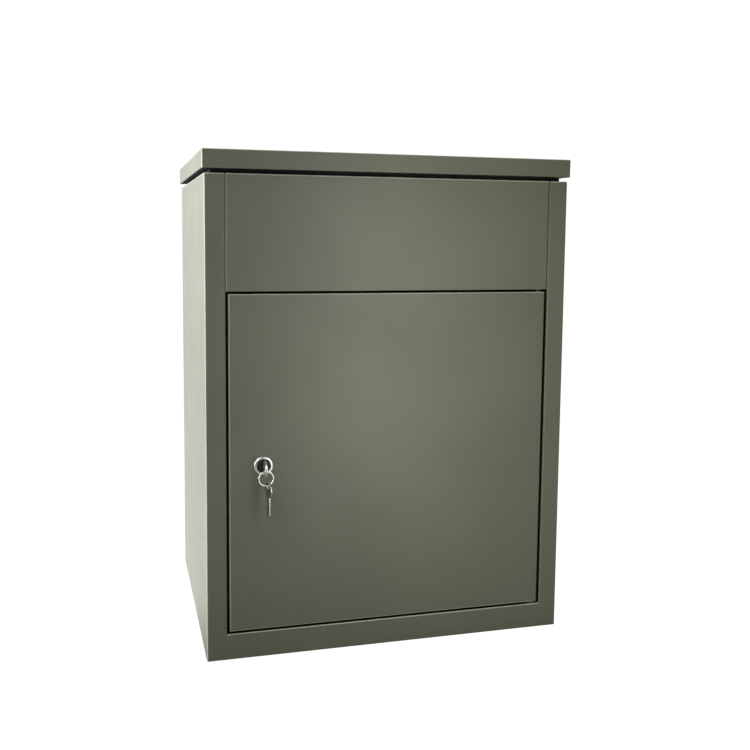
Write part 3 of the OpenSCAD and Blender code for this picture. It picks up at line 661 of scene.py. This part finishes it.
bpy.ops.transform.translate(value=(0, dish_depth, 0))
bpy.ops.mesh.inset(thickness=bezel_radius - ring_width - dish_slope - bore_radius)
bpy.ops.mesh.delete(type="FACE")
bpy.ops.mesh.select_mode(type="EDGE")
bpy.ops.mesh.select_non_manifold()
bpy.ops.mesh.bridge_edge_loops()
bpy.ops.mesh.select_all(action="DESELECT")
work = bmesh.from_edit_mesh(lock_body.data)
for edge in work.edges:
    near, far = sorted(from_axis(end.co) for end in edge.verts)
    at_front = all(end.co.y < bezel_front + close for end in edge.verts)
    edge.select = at_front and near > bezel_radius - close and far - near < close
bmesh.update_edit_mesh(lock_body.data)
bpy.ops.mesh.bevel(offset=rounding, segments=7, affect="EDGES")
bpy.ops.mesh.select_all(action="SELECT")
bpy.ops.mesh.normals_make_consistent(inside=False)
bpy.ops.object.mode_set(mode="OBJECT")
bpy.ops.object.shade_smooth_by_angle(angle=math.radians(30))
lock_body.data.materials.append(nickel)
lock_body.data.materials.append(nickel_painted_shade_and_glints)
bpy.ops.object.mode_set(mode="EDIT")
# The dish inside the bezel's ring is coloured near black with light flecks: painted shade and
# painted glints.
faces_by(lock_body, in_dish)
lock_body.active_material_index = 1
bpy.ops.object.material_slot_assign()
bpy.ops.object.mode_set(mode="OBJECT")
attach(lock_body, "door")
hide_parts("lock_housing")
dress("lock_nut", zinc_steel, 0.0004)


# ---- Lock plug, cam and screw ------------------------------------------------------------------
# The plug turns inside the barrel, with a slot down its middle for the key. The cam behind it is
# pressed steel, held on by a washer and a round-headed screw.
# The plug is coloured near black with fine light flecks: painted shade and painted glints.
dress("lock_plug", nickel_painted_shade_and_glints, 0.0003)
folded_sheet("lock_cam", "plug", nowhere, plating=zinc_steel)
dress("cam_washer", zinc_steel, 0.0001)
dress("cam_screw", zinc_steel, 0.0004)


# ---- Key in the lock ---------------------------------------------------------------------------
# A flat key stamped from nickelled steel, pushed home. Its round bow stands upright, edge on, and
# its rims are tumbled smooth.
dress("door_key", nickel, 0.0004, 3)


# ---- Split ring --------------------------------------------------------------------------------
# Nickelled spring wire, wound twice round and pressed flat, so that its turns lie side by side.
# It passes through the holes in both keys' bows.
ring_low, ring_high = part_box("key_ring")
ring_middle = (ring_low + ring_high) / 2
ring_outer = (ring_high.x - ring_low.x) / 2
wire = (ring_high.y - ring_low.y) / 2
pressed_flat = 0.5
turn_offset = wire * 0.49
turns = []
for side in (-1, 1):
    bpy.ops.object.select_all(action="DESELECT")
    bpy.ops.mesh.primitive_torus_add(
        major_radius=ring_outer - wire, minor_radius=wire, major_segments=96, minor_segments=16,
        location=ring_middle, rotation=(math.radians(90), 0, 0))
    turn = bpy.context.object
    turn.scale.z = pressed_flat
    turn.location.y += side * turn_offset
    turns.append(turn)
bpy.ops.object.select_all(action="DESELECT")
for turn in turns:
    turn.select_set(True)
bpy.context.view_layer.objects.active = turns[0]
bpy.ops.object.join()
split_ring = bpy.context.object
split_ring.name = "split_ring"
bpy.ops.object.transform_apply(location=True, rotation=True, scale=True)
bpy.ops.object.shade_smooth()
split_ring.data.materials.append(nickel)
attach(split_ring, "ring")
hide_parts("key_ring")


# ---- Spare key ---------------------------------------------------------------------------------
# A second key stamped from the same blank, its plating darker and mottled with fine light patches
# that are painted glints. It hangs from the ring by the hole in its bow.
key_metal_painted_glints = made_of("key_metal_painted_glints", (0.24, 0.24, 0.22), (0.60, 0.59, 0.56), 1, (0.16, 0.32),
                    300, 1600, 0.00005)
dress("spare_key", key_metal_painted_glints, 0.0004, 3)


# ---- Weld spot ---------------------------------------------------------------------------------
# A small bead of bare weld in the lower left corner of the opening, where the rail meets the
# upright. It has been touched with the grinder and not painted over.
bpy.ops.object.select_all(action="DESELECT")
spot_place = Vector((-0.1922, rail_low.y - 0.0001, rail_high.z - 0.0006))
spot_radius = 0.0015
spot_shape = (1.0, 0.35, 0.7)
bpy.ops.mesh.primitive_uv_sphere_add(
    segments=24, ring_count=12, radius=spot_radius, location=spot_place)
weld_spot = bpy.context.object
weld_spot.name = "weld_spot"
weld_spot.scale = spot_shape
bpy.ops.object.transform_apply(location=True, rotation=True, scale=True)
bpy.ops.object.shade_smooth()
weld_bead = made_of("weld_bead", (0.55, 0.55, 0.52), (0.80, 0.80, 0.76), 1, (0.3, 0.45),
                    900, 2500, 0.0001)
weld_spot.data.materials.append(weld_bead)
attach(weld_spot, "cabinet")
